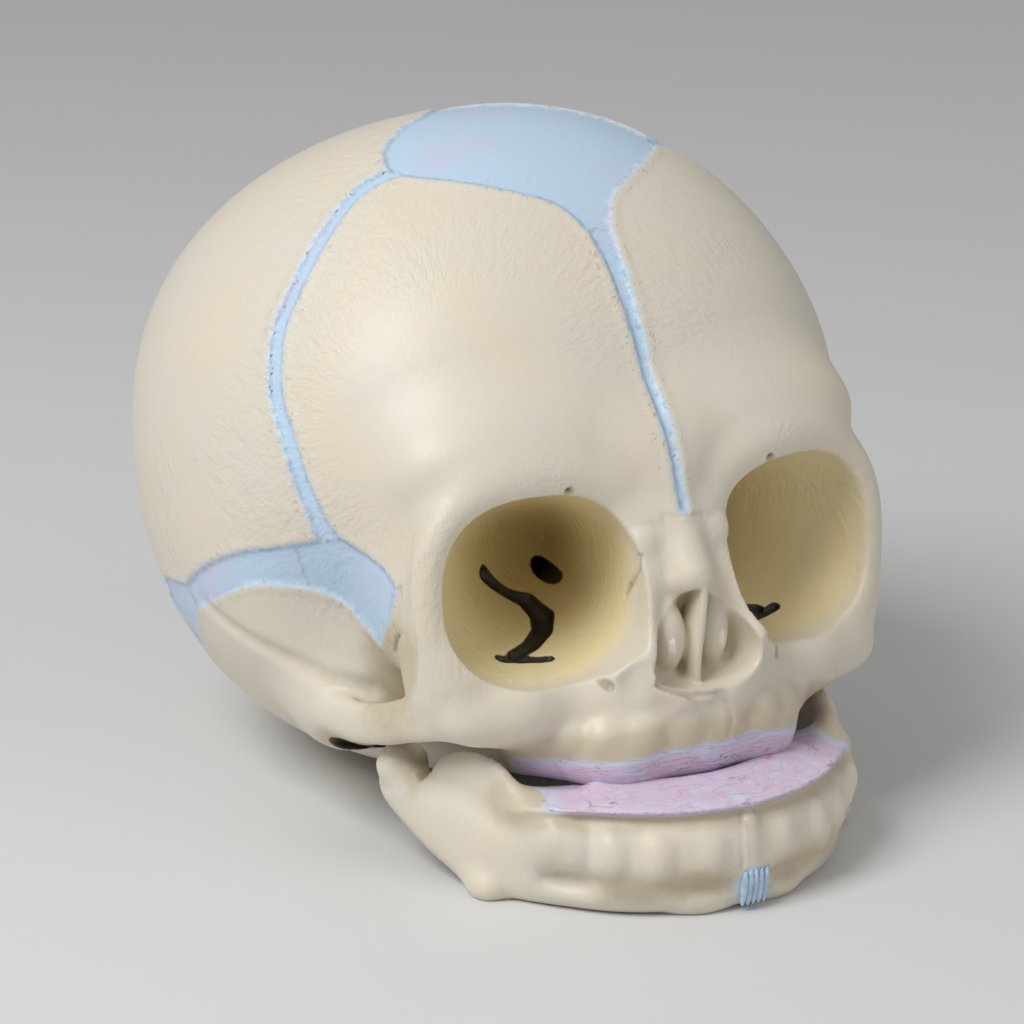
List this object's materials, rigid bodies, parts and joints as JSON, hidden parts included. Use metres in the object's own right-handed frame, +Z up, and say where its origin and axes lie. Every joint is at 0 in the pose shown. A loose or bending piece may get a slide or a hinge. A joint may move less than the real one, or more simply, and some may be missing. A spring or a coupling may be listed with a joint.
{
  "type": "anatomical skull model",
  "caption": "Life-size newborn skull teaching model with blue fontanelles and seams, eye sockets, gums and a swinging lower jaw",
  "frame": {"origin": "on the table under the middle of the model's footprint", "axes": "+Z up, the face looks along -Y, the skull's left is +X; the length along Y is the longest"},
  "size_m": [0.0984, 0.1282, 0.097],
  "materials": {
    "bone": "cream semi-gloss vinyl with a fine bone grain",
    "soft_seam": "pale blue paint on vinyl, soft at its edges",
    "gum": "lilac paint with blue edges and fine red lines"
  },
  "bodies": {
    "cranium": {"anterior_fontanelle": "soft_seam", "coronal_suture_left": "soft_seam", "coronal_suture_right": "soft_seam", "ethmoid_bone": "bone", "frontal_bone_left": "bone", "frontal_bone_right": "bone", "lambdoid_suture_left": "soft_seam", "lambdoid_suture_right": "soft_seam", "mastoid_fontanelle_left": "soft_seam", "mastoid_fontanelle_right": "soft_seam", "maxilla_left": "bone", "maxilla_right": "bone", "metopic_suture": "soft_seam", "nasal_bone_left": "bone", "nasal_bone_right": "bone", "nasal_concha_left": "bone", "nasal_concha_right": "bone", "occipital_bone": "bone", "parietal_bone_left": "bone", "parietal_bone_right": "bone", "posterior_fontanelle": "soft_seam", "sagittal_suture": "soft_seam", "sphenoid_bone": "bone", "sphenoid_wing_left": "bone", "sphenoid_wing_right": "bone", "sphenoidal_fontanelle_left": "soft_seam", "sphenoidal_fontanelle_right": "soft_seam", "squamous_suture_left": "soft_seam", "squamous_suture_right": "soft_seam", "temporal_bone_left": "bone", "temporal_bone_right": "bone", "upper_gum": "gum", "vomer": "bone", "zygomatic_bone_left": "bone", "zygomatic_bone_right": "bone"},
    "mandible": {"chin_symphysis": "soft_seam", "lower_gum": "gum", "mandible_left": "bone", "mandible_right": "bone"}
  },
  "joints": [
    {"name": "jaw_hinge", "type": "hinge", "parent": "cranium", "child": "mandible", "pos_m": [0, -0.0229, 0.014], "axis": [1, 0, 0], "range_deg": [0, 25]}
  ]
}
